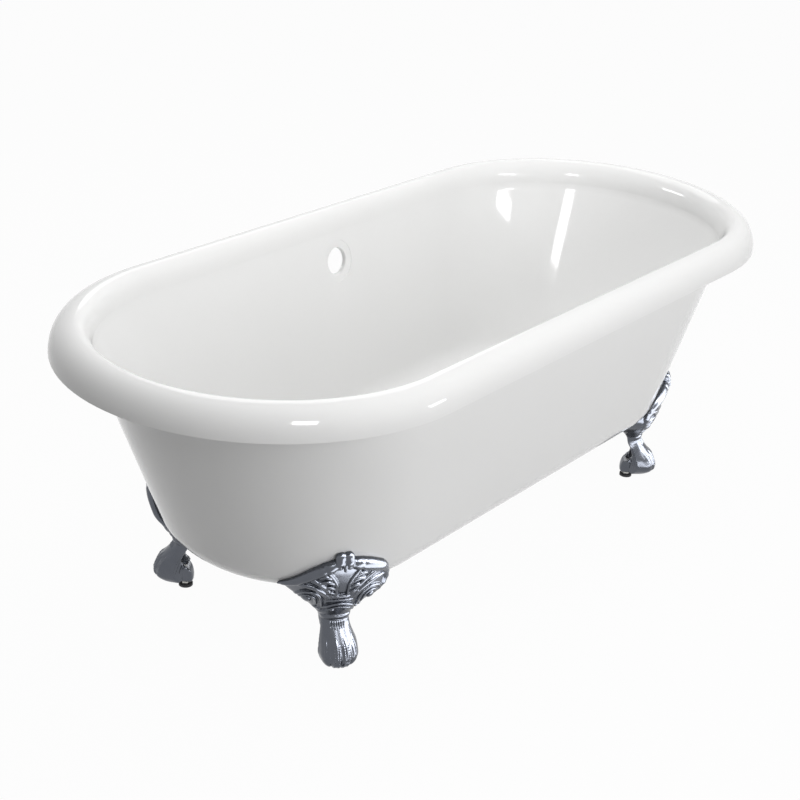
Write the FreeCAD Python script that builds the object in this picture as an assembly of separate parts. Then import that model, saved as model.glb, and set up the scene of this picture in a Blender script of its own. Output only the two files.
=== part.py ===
"""Clawfoot bathtub: a cast-iron double-ended tub with a rolled rim on four lion's-paw feet.

Frame: origin on the floor under the middle of the tub, +X along its length, +Y across it towards
the long side with the overflow hole, +Z up. Millimetres.
"""
import math
import os

import FreeCAD
import Part

# ---- tub: driving dimensions ---------------------------------------------------------------
tub_length = 1700.0          # over the rim
tub_width = 758.0            # over the rim
underside = 136.0            # floor to the underside of the tub
body_depth = 407.0           # underside up to the lip's lower edge
roll_height = 51.0           # lip's lower edge up to the crest of the rim
roll_half_width = 44.0       # outermost edge in to the crest
iron = 7.0                   # wall of the casting, enamel included
floor_iron = 9.0             # bottom of the casting
end_inset = 69.0             # outermost edge in to the body at the lip, at the two ends
side_inset = 56.0            # the same along the two long sides
end_slope = 0.40             # how far an end wall leans in for each millimetre down
side_slope = 0.19            # how far a long wall leans in for each millimetre down
turn_rise = 75.0             # underside up to where the walls start to turn under
flat_end_inset = 368.0       # outermost edge in to the flat underside, at the two ends
flat_side_inset = 293.0      # the same along the two long sides

# ---- waste holes ---------------------------------------------------------------------------
waste_offset = 52.0          # both holes lie this far from the middle, towards +X
overflow_radius = 27.5
overflow_drop = 110.0        # crest of the rim down to the middle of the hole
overflow_seat_radius = 44.0
drain_radius = 26.0
drain_seat_radius = 42.0
seat_depth = 1.5             # flat seats are sunk this far into the enamelled face
pad_thickness = 4.0          # flat pads stand this far out from the back of the casting
cut_reach = 30.0             # how far a hole's cutter runs past each side of the wall

# ---- feet: where they stand -----------------------------------------------------------------
foot_end_inset = 349.0       # outermost edge of the rim in to the levelling screw's axis, endways
foot_side_inset = 194.5      # the same across the tub
foot_angle = 54.0            # the way the paw points, from the +X axis
waist_drop = 32.0            # underside of the tub down to the foot's waist
seat_gap = 0.3               # shield to tub
foot_wall = 7.0
border_height = 15.0         # raised border along the shield's top edge
border_relief = 5.0

# ---- knuckle: three upright lobes at the top of the shield ------------------------------------
knuckle_lobes = 3
lobe_radius = 6.5
lobe_pitch = 8.5
lobe_length = 20.0           # between the middles of a lobe's two round ends
knuckle_out = 63.0           # middle of the knuckle out from the levelling screw's axis
knuckle_rise = 129.0         # foot's waist up to the middle of the lobes' lower ends

# ---- shelf, lug and mounting bolt -----------------------------------------------------------
shelf_drop = 22.0            # underside of the tub down to the underside of the foot's shelf
shelf_thickness = 12.0
lug_radius = 20.0
lug_reach = 80.0             # boss before it is cut off at the tub, past any place it meets it
bolt_radius = 5.0
bolt_clearance = 0.5
thread_clearance = 0.05
bolt_grip = 20.0             # length of thread in the lug
bolt_end_gap = 2.0           # end of the bolt to the end of its hole
bolt_head_flats = 16.0
bolt_head_height = 6.4
washer_radius = 10.0
washer_thickness = 2.0
spring_washer_radius = 9.0
spring_washer_thickness = 2.6
spring_washer_split = 2.0

# ---- levelling foot -------------------------------------------------------------------------
sole_z = 13.0                # underside of the sole plate, with the foot at rest
sole_thickness = 9.0
screw_radius = 5.0
screw_top = 40.0
collar_flats = 17.0
collar_height = 4.0
glide_radius = 13.5
glide_height = 6.0
glide_crown = 1.5            # chamfer round the glide's top
spigot_radius = 4.0
spigot_clearance = 0.05
spigot_floor = 2.0           # glide's thickness under the spigot
collar_gap = 0.3             # glide to collar

# ---- toes -----------------------------------------------------------------------------------
groove_radius = 3.5
groove_depth = 2.5
groove_shares = [-0.5, 0.0, 0.5]   # places of the grooves, as shares of the paw's half width

# Stations of the paw from the sole up to the waist: share of that height, front, half width,
# middle, back and sideways shift. The last five are measured in the foot's own frame, in which
# the levelling screw's axis is the origin and the first axis points outwards. The second axis
# points to the tub's middle, so that the shield reaches further towards the tub's end.
paw_stations = [
    (0.00, 40.0, 29.0, 8.0, -14.0, 0.0),
    (0.12, 60.0, 37.0, 14.0, -13.0, 0.0),
    (0.27, 65.0, 39.5, 16.0, -11.0, 0.0),
    (0.47, 54.0, 36.0, 14.0, -7.0, 0.0),
    (0.69, 35.0, 30.0, 8.0, -5.0, 0.0),
    (0.87, 22.0, 27.0, 2.0, -6.0, 0.0),
]
# Stations of the shield: height above the waist, then the same five.
shield_stations = [
    (0.0, 23.0, 29.0, 2.0, -10.0, 0.0),
    (14.0, 31.0, 40.0, 4.0, -16.0, -2.0),
    (30.0, 39.0, 57.0, 8.0, -18.0, -3.0),
    (44.0, 44.0, 71.0, 14.0, -18.0, -5.0),
    (62.0, 50.0, 86.0, 18.0, -18.0, -8.0),
    (87.0, 59.0, 95.0, 22.0, -18.0, -10.0),
    (111.0, 66.0, 96.0, 26.0, -18.0, -10.0),
    (161.0, 72.0, 96.0, 30.0, -18.0, -10.0),
]
# The shield's top edge: sideways place and height above the waist.
shield_top = [(-107.0, 78.0), (-82.0, 97.0), (-48.0, 123.0), (-20.0, 139.0), (0.0, 146.0),
              (18.0, 141.0), (48.0, 129.0), (70.0, 116.0), (87.0, 92.0)]
shield_reach = 130.0         # how far the cutting prisms run out, past the whole shield

# ---- values that follow ---------------------------------------------------------------------
sewing_tolerance = 0.001
up = FreeCAD.Vector(0, 0, 1)
lip_z = underside + body_depth
rim_top = lip_z + roll_height
wall_depth = body_depth - turn_rise
flat_half_length = tub_length / 2.0 - flat_end_inset
flat_half_width = tub_width / 2.0 - flat_side_inset
foot_x = tub_length / 2.0 - foot_end_inset
foot_y = tub_width / 2.0 - foot_side_inset
waist_z = underside - waist_drop
shelf_z = underside - shelf_drop
shelf_top = shelf_z + shelf_thickness
corners = {
    "right_rear": (1, 1),
    "right_front": (1, -1),
    "left_rear": (-1, 1),
    "left_front": (-1, -1),
}


def vec(x, y, z):
    return FreeCAD.Vector(x, y, z)


def cylinder(radius, height, x, y, z, axis=up):
    return Part.makeCylinder(radius, height, vec(x, y, z), axis)


def through(radius, thickness, x, y, z):
    """Cutter for an upright hole in a plate that starts at z, a little longer than the plate."""
    past = 1.0
    return cylinder(radius, thickness + 2.0 * past, x, y, z - past)


def hexagon(flats, height, x, y, z):
    corner = flats / math.sqrt(3.0)
    points = []
    for i in range(7):
        turn = math.radians(60.0 * i)
        points.append(vec(x + corner * math.cos(turn), y + corner * math.sin(turn), z))
    return Part.Face(Part.makePolygon(points)).extrude(vec(0, 0, height))


# ---- the tub's outlines ---------------------------------------------------------------------
def stadium(half_length, half_width, z):
    """Closed level outline: two straight sides and two half-round ends."""
    centre = half_length - half_width
    bow = half_width * math.sqrt(0.5)
    corner = [
        (centre, -half_width), (centre + bow, -bow), (half_length, 0.0),
        (centre + bow, bow), (centre, half_width),
        (-centre, half_width), (-centre - bow, bow), (-half_length, 0.0),
        (-centre - bow, -bow), (-centre, -half_width),
    ]
    p = [vec(x, y, z) for x, y in corner]
    edges = [
        Part.Arc(p[0], p[1], p[2]).toShape(),
        Part.Arc(p[2], p[3], p[4]).toShape(),
        Part.LineSegment(p[4], p[5]).toShape(),
        Part.Arc(p[5], p[6], p[7]).toShape(),
        Part.Arc(p[7], p[8], p[9]).toShape(),
        Part.LineSegment(p[9], p[0]).toShape(),
    ]
    return Part.Wire(edges)


def wall_sizes(grow, lift):
    """Half length, half width and height of the body's outlines, from the lip to the bottom.

    grow moves the walls outwards and lift raises the bottom.
    """
    length = tub_length / 2.0 - end_inset + grow
    width = tub_width / 2.0 - side_inset + grow
    turn_length = length - end_slope * wall_depth
    turn_width = width - side_slope * wall_depth
    drop = turn_rise - lift
    knee_length = turn_length - end_slope * drop
    knee_width = turn_width - side_slope * drop
    sizes = []
    wall_steps = 4
    for i in range(wall_steps):
        depth = wall_depth * i / wall_steps
        sizes.append((length - end_slope * depth, width - side_slope * depth, lip_z - depth))
    # the turn is a parabola from the wall through the knee to the flat underside
    turn_steps = 7
    for i in range(turn_steps + 1):
        t = i / turn_steps
        a = (1 - t) ** 2
        b = 2 * t * (1 - t)
        c = t * t
        half_length = a * turn_length + b * knee_length + c * flat_half_length
        half_width = a * turn_width + b * knee_width + c * flat_half_width
        sizes.append((half_length, half_width, lip_z - wall_depth - (b + c) * drop))
    return sizes


def roll_sizes(skin):
    """Outlines of the rolled rim, from its lip over the crest to the top of the wall.

    skin is 0 for the face that shows and the iron's thickness for the face under the roll.
    """
    body_length, body_width, _ = wall_sizes(skin - iron, 0.0)[0]
    crest_length = tub_length / 2.0 - roll_half_width
    crest_width = tub_width / 2.0 - roll_half_width
    steps = 6
    sizes = []
    for i in range(steps):
        turn = math.pi / 2.0 * i / steps
        out = (roll_half_width - skin) * math.cos(turn)
        rise = (roll_height - skin) * math.sin(turn)
        sizes.append((crest_length + out, crest_width + out, lip_z + rise))
    for i in range(steps):
        turn = math.pi / 2.0 * i / steps
        share = math.sin(turn)
        half_length = crest_length + (body_length - crest_length) * share
        half_width = crest_width + (body_width - crest_width) * share
        sizes.append((half_length, half_width, lip_z + (roll_height - skin) * math.cos(turn)))
    return sizes


def skin_faces(sizes):
    wires = [stadium(*size) for size in sizes]
    return wires, Part.makeLoft(wires, False, True).Faces


def body_block(grow):
    """The tub's outside below the lip as one solid, its walls moved out by grow."""
    sizes = wall_sizes(grow, -grow)
    return Part.makeLoft([stadium(*size) for size in sizes], True, True)


# ---- the tub --------------------------------------------------------------------------------
def make_shell():
    """The plain casting: the face that shows, the face behind it and the lip between them."""
    show_wires, show_faces = skin_faces(roll_sizes(0.0) + wall_sizes(-iron, floor_iron))
    back_wires, back_faces = skin_faces(roll_sizes(iron) + wall_sizes(0.0, 0.0))
    lip = Part.Face([show_wires[0], back_wires[0]])
    faces = show_faces + back_faces + [lip, Part.Face(show_wires[-1]), Part.Face(back_wires[-1])]
    skin = Part.makeCompound(faces)
    skin.sewShape()
    shell = Part.Solid(skin.Shells[0])
    shell.fix(sewing_tolerance, sewing_tolerance, sewing_tolerance)
    return shell


def add_waste(tub, centre, out, wall, hole_radius, seat_radius):
    """Add a pad behind the wall, a flat seat in its face and a hole, square to out.

    centre lies on the back of the wall and out points away from the tub.
    """
    pad = Part.makeCylinder(seat_radius, pad_thickness + wall / 2.0, centre - out * (wall / 2.0), out)
    seat = Part.makeCylinder(seat_radius, wall, centre - out * (2.0 * wall - seat_depth), out)
    hole = Part.makeCylinder(hole_radius, 2.0 * cut_reach, centre - out * cut_reach, out)
    return tub.fuse(pad).cut(seat).cut(hole)


def lug(sx, sy):
    """Boss cast under the tub, down to the shelf inside the foot."""
    boss = cylinder(lug_radius, lug_reach, sx * foot_x, sy * foot_y, shelf_top)
    # only what lies below the middle of the iron is kept, so that the inside stays smooth
    return boss.cut(body_block(-iron / 2.0))


def make_tub():
    lean = math.atan(side_slope)
    overflow_z = rim_top - overflow_drop
    overflow_y = tub_width / 2.0 - side_inset - side_slope * (lip_z - overflow_z)
    tub = add_waste(make_shell(), vec(waste_offset, 0, underside), -up, floor_iron,
                    drain_radius, drain_seat_radius)
    tub = add_waste(tub, vec(waste_offset, overflow_y, overflow_z),
                    vec(0, math.cos(lean), -math.sin(lean)), iron,
                    overflow_radius, overflow_seat_radius)
    for sx, sy in corners.values():
        tub = tub.fuse(lug(sx, sy))
        tub = tub.cut(cylinder(bolt_radius + thread_clearance, bolt_grip + bolt_end_gap,
                               sx * foot_x, sy * foot_y, shelf_top))
    return tub


# ---- feet, in their own frame ---------------------------------------------------------------
def all_stations():
    """The foot's stations from the sole up, each with its height above the floor."""
    leg = waist_z - sole_z
    paw = [(sole_z + share * leg, *sizes) for share, *sizes in paw_stations]
    shield = [(waist_z + rise, *sizes) for rise, *sizes in shield_stations]
    return paw + shield


def station_wire(station, grow, back):
    """Level outline of the foot: a bowed front, two sides and a straight back."""
    z, front, half_width, middle, rear, shift = station
    if back is not None:
        rear = back
    first = shift - half_width - grow
    last = shift + half_width + grow
    p = [
        vec(rear, first, z), vec(middle, first, z), vec(front + grow, shift, z),
        vec(middle, last, z), vec(rear, last, z),
    ]
    edges = [
        Part.LineSegment(p[0], p[1]).toShape(),
        Part.Arc(p[1], p[2], p[3]).toShape(),
        Part.LineSegment(p[3], p[4]).toShape(),
        Part.LineSegment(p[4], p[0]).toShape(),
    ]
    return Part.Wire(edges)


def foot_block(grow, back=None):
    wires = [station_wire(station, grow, back) for station in all_stations()]
    return Part.makeLoft(wires, True, True)


def front_point(station, share, lift):
    """Point off a station's bowed front, by lift, share of the way from its middle to its side."""
    z, front, half_width, middle, _, _ = station
    bow = front - middle
    radius = (half_width ** 2 + bow ** 2) / (2.0 * bow)
    side = share * half_width
    return vec(front - radius + math.sqrt(radius ** 2 - side ** 2) + lift, side, z)


def shield_prism(drop):
    """Everything under the shield's top edge, lowered by drop, as one prism along the foot."""
    edge = [vec(-shield_reach, side, waist_z + rise - drop) for side, rise in shield_top]
    curve = Part.BSplineCurve()
    curve.interpolate(edge)
    far = shield_reach
    start = edge[0]
    end = edge[-1]
    corner = [end, vec(-far, far, end.z), vec(-far, far, 0), vec(-far, -far, 0),
              vec(-far, -far, start.z), start]
    edges = [curve.toShape()]
    for a, b in zip(corner, corner[1:]):
        edges.append(Part.LineSegment(a, b).toShape())
    return Part.Face(Part.Wire(edges)).extrude(vec(2.0 * far, 0, 0))


def slab(low, high):
    size = 2.0 * shield_reach
    return Part.makeBox(size, size, high - low, vec(-shield_reach, -shield_reach, low))


def rod(points, radius):
    """Round bar with round ends through the points."""
    bar = Part.makeSphere(radius, points[0])
    for a, b in zip(points, points[1:]):
        run = b - a
        bar = bar.fuse(Part.makeCylinder(radius, run.Length, a, run))
        bar = bar.fuse(Part.makeSphere(radius, b))
    return bar


def add_knuckle(foot):
    z = waist_z + knuckle_rise
    for i in range(knuckle_lobes):
        side = (i - (knuckle_lobes - 1) / 2.0) * lobe_pitch
        foot = foot.fuse(rod([vec(knuckle_out, side, z), vec(knuckle_out, side, z + lobe_length)],
                             lobe_radius))
    return foot


def cut_toes(foot):
    paw = all_stations()[:len(paw_stations)]
    for share in groove_shares:
        points = [front_point(station, share, groove_radius - groove_depth) for station in paw]
        foot = foot.cut(rod(points, groove_radius))
    return foot


def make_foot():
    shield = foot_block(0.0).common(shield_prism(0.0))
    border = foot_block(border_relief).common(shield_prism(0.0)).cut(shield_prism(border_height))
    foot = add_knuckle(shield.fuse(border))
    inner = foot_block(-foot_wall, -shield_reach)
    leg_hollow = inner.common(slab(sole_z + sole_thickness, shelf_z))
    shield_hollow = inner.common(shield_prism(border_height)).common(slab(shelf_top, rim_top))
    foot = cut_toes(foot.cut(leg_hollow).cut(shield_hollow))
    foot = foot.cut(through(bolt_radius + bolt_clearance, shelf_thickness, 0, 0, shelf_z))
    return foot.cut(through(screw_radius + thread_clearance, sole_thickness, 0, 0, sole_z))


def to_corner(shape):
    """From the foot's own frame to the corner at +X, +Y."""
    placed = shape.copy()
    placed.rotate(vec(0, 0, 0), up, foot_angle)
    placed.translate(vec(foot_x, foot_y, 0))
    return placed


def mirrored(shape, sx, sy):
    """From the corner at +X, +Y to another corner."""
    placed = shape
    if sx < 0:
        placed = placed.mirror(vec(0, 0, 0), vec(1, 0, 0))
    if sy < 0:
        placed = placed.mirror(vec(0, 0, 0), vec(0, 1, 0))
    return placed


# ---- fasteners, in the foot's own frame -----------------------------------------------------
def make_bolt():
    washers = washer_thickness + spring_washer_thickness
    head_z = shelf_z - washers - bolt_head_height
    head = hexagon(bolt_head_flats, bolt_head_height, 0, 0, head_z)
    shank = cylinder(bolt_radius, washers + shelf_thickness + bolt_grip, 0, 0, shelf_z - washers)
    return head.fuse(shank).removeSplitter()


def ring(outer, inner, height, z):
    return cylinder(outer, height, 0, 0, z).cut(cylinder(inner, height, 0, 0, z))


def make_washer():
    bore = bolt_radius + bolt_clearance
    return ring(washer_radius, bore, washer_thickness, shelf_z - washer_thickness)


def make_spring_washer():
    bore = bolt_radius + bolt_clearance / 2.0
    z = shelf_z - washer_thickness - spring_washer_thickness
    split = Part.makeBox(2.0 * spring_washer_radius, spring_washer_split, spring_washer_thickness,
                         vec(0, -spring_washer_split / 2.0, z))
    return ring(spring_washer_radius, bore, spring_washer_thickness, z).cut(split)


def make_screw():
    collar_z = glide_height + collar_gap
    thread_z = collar_z + collar_height
    spigot = cylinder(spigot_radius, collar_z - spigot_floor, 0, 0, spigot_floor)
    collar = hexagon(collar_flats, collar_height, 0, 0, collar_z)
    thread = cylinder(screw_radius, screw_top - thread_z, 0, 0, thread_z)
    return spigot.fuse(collar).fuse(thread).removeSplitter()


def make_glide():
    disc = cylinder(glide_radius, glide_height - glide_crown, 0, 0, 0)
    crown = Part.makeCone(glide_radius, glide_radius - glide_crown, glide_crown,
                          vec(0, 0, glide_height - glide_crown))
    bore = cylinder(spigot_radius + spigot_clearance, glide_height, 0, 0, spigot_floor)
    return disc.fuse(crown).removeSplitter().cut(bore)


def main():
    os.makedirs("parts", exist_ok=True)
    pieces = {"tub_body": make_tub()}
    foot = to_corner(make_foot()).cut(body_block(seat_gap)).removeSplitter()
    hardware = {
        "mounting_bolt": make_bolt(),
        "flat_washer": make_washer(),
        "spring_washer": make_spring_washer(),
        "levelling_screw": make_screw(),
        "glide": make_glide(),
    }
    for corner, (sx, sy) in corners.items():
        pieces["foot_" + corner] = mirrored(foot, sx, sy)
        for name, shape in hardware.items():
            pieces[name + "_" + corner] = mirrored(to_corner(shape), sx, sy)
    for name, shape in pieces.items():
        box = shape.optimalBoundingBox()
        print(name, len(shape.Solids), shape.isValid(), round(shape.Volume),
              [round(v, 1) for v in (box.XMin, box.YMin, box.ZMin, box.XMax, box.YMax, box.ZMax)])
        shape.exportStep("parts/" + name + ".step")


main()
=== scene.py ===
"""Clawfoot bathtub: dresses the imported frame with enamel, chrome, light and a camera.

Everything is in metres, in the frame of the part: the origin is on the floor under the middle of
the tub, +X along it, +Y across it to the long side with the overflow hole, +Z up.
"""

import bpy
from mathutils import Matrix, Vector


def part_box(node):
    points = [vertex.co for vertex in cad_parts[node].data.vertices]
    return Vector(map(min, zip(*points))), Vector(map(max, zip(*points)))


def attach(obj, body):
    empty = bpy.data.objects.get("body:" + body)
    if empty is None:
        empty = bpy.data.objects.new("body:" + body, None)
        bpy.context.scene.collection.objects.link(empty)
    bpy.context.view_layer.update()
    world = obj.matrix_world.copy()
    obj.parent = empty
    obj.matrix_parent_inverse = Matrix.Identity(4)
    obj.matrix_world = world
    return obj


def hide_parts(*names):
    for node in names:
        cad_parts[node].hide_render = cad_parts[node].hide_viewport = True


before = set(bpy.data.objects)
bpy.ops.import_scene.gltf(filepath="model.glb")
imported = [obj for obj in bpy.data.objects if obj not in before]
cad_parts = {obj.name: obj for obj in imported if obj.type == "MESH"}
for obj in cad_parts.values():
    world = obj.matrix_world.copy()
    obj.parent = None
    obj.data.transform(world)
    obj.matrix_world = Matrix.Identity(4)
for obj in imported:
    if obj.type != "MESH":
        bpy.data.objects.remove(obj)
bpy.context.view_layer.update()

import math

import bmesh
import bpy
import numpy as np
from mathutils import Matrix, Vector

MM = 0.001
CORNERS = {
    "right_rear": (1, 1),
    "right_front": (1, -1),
    "left_rear": (-1, 1),
    "left_front": (-1, -1),
}

# ---- sizes, from the frame ----------------------------------------------------------------------
low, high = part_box("tub_body")
HALF_LENGTH = high[0]
HALF_WIDTH = high[1]
RIM_TOP = high[2]
SHELF_TOP = low[2]
SHELF_DROP = 0.022
SHELF_THICKNESS = 0.012
UNDERSIDE = SHELF_TOP - SHELF_THICKNESS + SHELF_DROP
ROLL_HEIGHT = 0.051
ROLL_HALF_WIDTH = 0.044
LIP_Z = RIM_TOP - ROLL_HEIGHT
IRON = 0.007
FLOOR_IRON = 0.009
END_INSET = 0.069
SIDE_INSET = 0.056
END_SLOPE = 0.40
SIDE_SLOPE = 0.19
TURN_RISE = 0.075
FLAT_END_INSET = 0.368
FLAT_SIDE_INSET = 0.293
WASTE_OFFSET = 0.052
OVERFLOW_RADIUS = 0.0275
OVERFLOW_DROP = 0.110
OVERFLOW_SEAT = 0.044
DRAIN_RADIUS = 0.026
DRAIN_SEAT = 0.042
SEAT_DEPTH = 0.0015
PAD_THICKNESS = 0.004
# bevel where a seat meets its hole, and how far the cutting solids run past the iron
EDGE = 0.0012
CUT_PAST = 0.02
LUG_RADIUS = 0.020
# more than any lug's height, and the lug's rings as shares of its radius
LUG_REACH = 0.060
LUG_RINGS = (1.0, 0.75, 0.5, 0.25, 0.02)
LUG_HEIGHT_STEP = 0.0005
LUG_HEIGHT_LIMIT = 0.2
BOLT_BORE = 0.00505
BOLT_BORE_DEPTH = 0.022
# how finely the tub is divided
SIDE_STEPS = 40
END_STEPS = 56
WALL_STEPS = 24
TURN_STEPS = 40
ROLL_STEPS = 20
BOTTOM_STEPS = 6
SEAT_STEPS = 96
LUG_STEPS = 48
BORE_STEPS = 32
FOOT_ANGLE = math.radians(54.0)

low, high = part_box("glide_right_rear")
FOOT_X = (low[0] + high[0]) / 2
FOOT_Y = (low[1] + high[1]) / 2


# ---- meshes -------------------------------------------------------------------------------------
def add_object(name, mesh, material):
    """A visible piece that rides on the root body, with its material and slot."""
    obj = bpy.data.objects.new(name, mesh)
    bpy.context.scene.collection.objects.link(obj)
    obj.data.materials.clear()
    obj.data.materials.append(material)
    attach(obj, "root")
    return obj


def mesh_from(name, points, faces):
    """A mesh from its points and faces."""
    mesh = bpy.data.meshes.new(name)
    mesh.from_pydata(points, [], faces)
    mesh.validate()
    return mesh


# ---- the tub ------------------------------------------------------------------------------------
def stadium_ring(half_length, half_width, z):
    """Points of a level outline, evenly spaced on its two straight sides and two round ends."""
    centre = half_length - half_width
    ring = []
    for i in range(SIDE_STEPS):
        ring.append((centre - 2.0 * centre * i / SIDE_STEPS, half_width, z))
    for i in range(END_STEPS):
        turn = math.pi / 2 + math.pi * i / END_STEPS
        ring.append((-centre + half_width * math.cos(turn), half_width * math.sin(turn), z))
    for i in range(SIDE_STEPS):
        ring.append((-centre + 2.0 * centre * i / SIDE_STEPS, -half_width, z))
    for i in range(END_STEPS):
        turn = -math.pi / 2 + math.pi * i / END_STEPS
        ring.append((centre + half_width * math.cos(turn), half_width * math.sin(turn), z))
    return ring


def wall_sizes(grow, lift):
    """Half length, half width and height of the body's outlines, from the lip to the bottom."""
    length = HALF_LENGTH - END_INSET + grow
    width = HALF_WIDTH - SIDE_INSET + grow
    depth = LIP_Z - UNDERSIDE - TURN_RISE
    turn_length = length - END_SLOPE * depth
    turn_width = width - SIDE_SLOPE * depth
    drop = TURN_RISE - lift
    knee_length = turn_length - END_SLOPE * drop
    knee_width = turn_width - SIDE_SLOPE * drop
    sizes = []
    for i in range(WALL_STEPS):
        down = depth * i / WALL_STEPS
        sizes.append((length - END_SLOPE * down, width - SIDE_SLOPE * down, LIP_Z - down))
    for i in range(TURN_STEPS + 1):
        t = i / TURN_STEPS
        a = (1 - t) ** 2
        b = 2 * t * (1 - t)
        c = t * t
        sizes.append((
            a * turn_length + b * knee_length + c * (HALF_LENGTH - FLAT_END_INSET),
            a * turn_width + b * knee_width + c * (HALF_WIDTH - FLAT_SIDE_INSET),
            LIP_Z - depth - (b + c) * drop,
        ))
    return sizes


def roll_sizes(skin):
    """Outlines of the rolled rim, from its lip over the crest to the top of the wall."""
    body_length, body_width, _ = wall_sizes(skin - IRON, 0.0)[0]
    crest_length = HALF_LENGTH - ROLL_HALF_WIDTH
    crest_width = HALF_WIDTH - ROLL_HALF_WIDTH
    sizes = []
    for i in range(ROLL_STEPS):
        turn = math.pi / 2 * i / ROLL_STEPS
        out = (ROLL_HALF_WIDTH - skin) * math.cos(turn)
        rise = (ROLL_HEIGHT - skin) * math.sin(turn)
        sizes.append((crest_length + out, crest_width + out, LIP_Z + rise))
    for i in range(ROLL_STEPS):
        turn = math.pi / 2 * i / ROLL_STEPS
        share = math.sin(turn)
        sizes.append((
            crest_length + (body_length - crest_length) * share,
            crest_width + (body_width - crest_width) * share,
            LIP_Z + (ROLL_HEIGHT - skin) * math.cos(turn),
        ))
    return sizes


def floor_sizes(last):
    """Outlines that close a level bottom inwards from the last outline."""
    half_length, half_width, z = last
    sizes = []
    for i in range(1, BOTTOM_STEPS):
        inset = half_width * i / BOTTOM_STEPS
        sizes.append((half_length - inset, half_width - inset, z))
    return sizes


def tub_shell():
    """The casting as one closed mesh: over the rim, down the inside, then back up the outside."""
    show = roll_sizes(0.0) + wall_sizes(-IRON, FLOOR_IRON)
    show += floor_sizes(show[-1])
    back = roll_sizes(IRON) + wall_sizes(0.0, 0.0)
    back += floor_sizes(back[-1])
    points = []
    faces = []
    count = len(stadium_ring(*show[0]))

    def join(first, second):
        for i in range(count):
            j = (i + 1) % count
            faces.append((first + i, first + j, second + j, second + i))

    for sizes in (show, back):
        for size in sizes:
            points.extend(stadium_ring(*size))
    for k in range(len(show) - 1):
        join(k * count, (k + 1) * count)
    offset = len(show) * count
    for k in range(len(back) - 1):
        join(offset + (k + 1) * count, offset + k * count)
    join(offset, 0)
    show_end = (len(show) - 1) * count
    back_end = offset + (len(back) - 1) * count
    faces.append(tuple(show_end + i for i in range(count)))
    faces.append(tuple(reversed([back_end + i for i in range(count)])))
    mesh = mesh_from("tub_shell", points, faces)
    flip_outwards(mesh)
    return mesh


def flip_outwards(mesh):
    """Turn all faces of a closed mesh outwards."""
    shape = bmesh.new()
    shape.from_mesh(mesh)
    bmesh.ops.recalc_face_normals(shape, faces=shape.faces)
    shape.to_mesh(mesh)
    shape.free()


def lathe(profile, place, axis, steps=SEAT_STEPS):
    """Closed solid of revolution. profile runs along the axis: (radius, distance)."""
    turned = Vector(axis).to_track_quat("Z", "Y").to_matrix().to_4x4()
    matrix = Matrix.Translation(place) @ turned
    points = []
    faces = []
    for radius, along in profile:
        for i in range(steps):
            turn = 2 * math.pi * i / steps
            local = Vector((radius * math.cos(turn), radius * math.sin(turn), along))
            points.append(tuple(matrix @ local))
    for k in range(len(profile) - 1):
        for i in range(steps):
            j = (i + 1) % steps
            faces.append((k * steps + i, k * steps + j, (k + 1) * steps + j, (k + 1) * steps + i))
    last = (len(profile) - 1) * steps
    faces.append(tuple(reversed(range(steps))))
    faces.append(tuple(range(last, last + steps)))
    return points, faces


def joined(name, solids):
    """One mesh of several solids, each given as points and faces."""
    points = []
    faces = []
    for solid_points, solid_faces in solids:
        start = len(points)
        points.extend(solid_points)
        faces.extend(tuple(start + i for i in face) for face in solid_faces)
    mesh = mesh_from(name, points, faces)
    flip_outwards(mesh)
    return mesh


def combine(mesh, tool_mesh, operation):
    """The mesh after a boolean with tool_mesh."""
    base = bpy.data.objects.new("base", mesh)
    tool = bpy.data.objects.new("tool", tool_mesh)
    for obj in (base, tool):
        bpy.context.scene.collection.objects.link(obj)
    modifier = base.modifiers.new("cut", "BOOLEAN")
    modifier.operation = operation
    modifier.solver = "EXACT"
    modifier.object = tool
    bpy.context.view_layer.update()
    graph = bpy.context.evaluated_depsgraph_get()
    result = bpy.data.meshes.new_from_object(base.evaluated_get(graph), depsgraph=graph)
    bpy.data.objects.remove(base)
    bpy.data.objects.remove(tool)
    return result


def body_half_sizes(z, grow=0.0):
    """Half length and half width of the tub's outside at height z, below the lip."""
    sizes = wall_sizes(grow, 0.0)
    heights = np.array([s[2] for s in sizes])[::-1]
    lengths = np.array([s[0] for s in sizes])[::-1]
    widths = np.array([s[1] for s in sizes])[::-1]
    return np.interp(z, heights, lengths), np.interp(z, heights, widths)


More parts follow.
